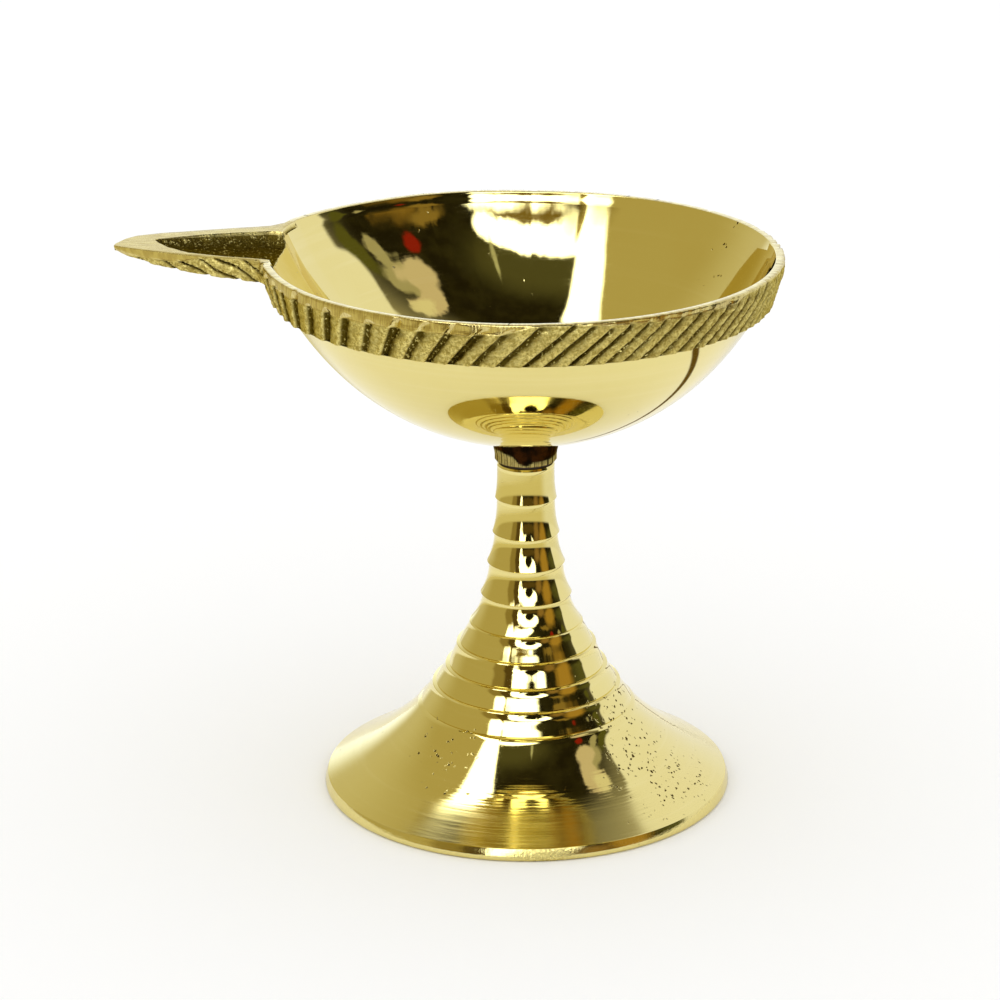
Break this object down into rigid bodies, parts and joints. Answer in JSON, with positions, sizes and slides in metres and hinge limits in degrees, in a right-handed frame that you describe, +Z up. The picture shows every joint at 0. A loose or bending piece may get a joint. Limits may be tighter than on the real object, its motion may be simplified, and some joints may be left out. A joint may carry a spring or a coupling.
{
  "type": "pedestal oil lamp",
  "caption": "Brass pedestal oil lamp: a shallow open bowl with a wick spout and ribbed rim band, screwed onto a ringed stem with a hollow flared foot.",
  "frame": {"origin": "on the supporting plane, below the middle of the lamp's overall length; the lamp's own axis stands at x = +9.725 mm, y = 0", "axes": "+Z up along the pedestal, -X out along the wick spout, Y across the bowl"},
  "size_m": [0.0836, 0.064, 0.0704],
  "materials": {
    "bowl_brass": "cast brass, mirror-polished bowl with a rough as-cast rim band and spout",
    "pedestal_brass": "cast brass, turned and polished, with fine turning lines and casting pits",
    "stud_brass": "plain cut thread, dull",
    "washer_leather": "dark compressed leather"
  },
  "bodies": {
    "pedestal": {"pedestal": "pedestal_brass"},
    "washer": {"seam_washer": "washer_leather"},
    "bowl": {"bowl": "bowl_brass", "bowl_stud": "stud_brass"}
  },
  "joints": [
    {"name": "bowl_lift", "type": "slide", "parent": "pedestal", "child": "washer", "axis": [0, 0, 1], "range_m": [0, 0.0064]},
    {"name": "bowl_unscrew", "type": "hinge", "parent": "washer", "child": "bowl", "pos_m": [0.00973, 0, 0.0435], "axis": [0, 0, 1], "range_deg": [0, 2160]}
  ],
  "couplings": [
    {"joint": "bowl_lift", "follows": "bowl_unscrew", "m_per_rad": 0.00016844}
  ]
}
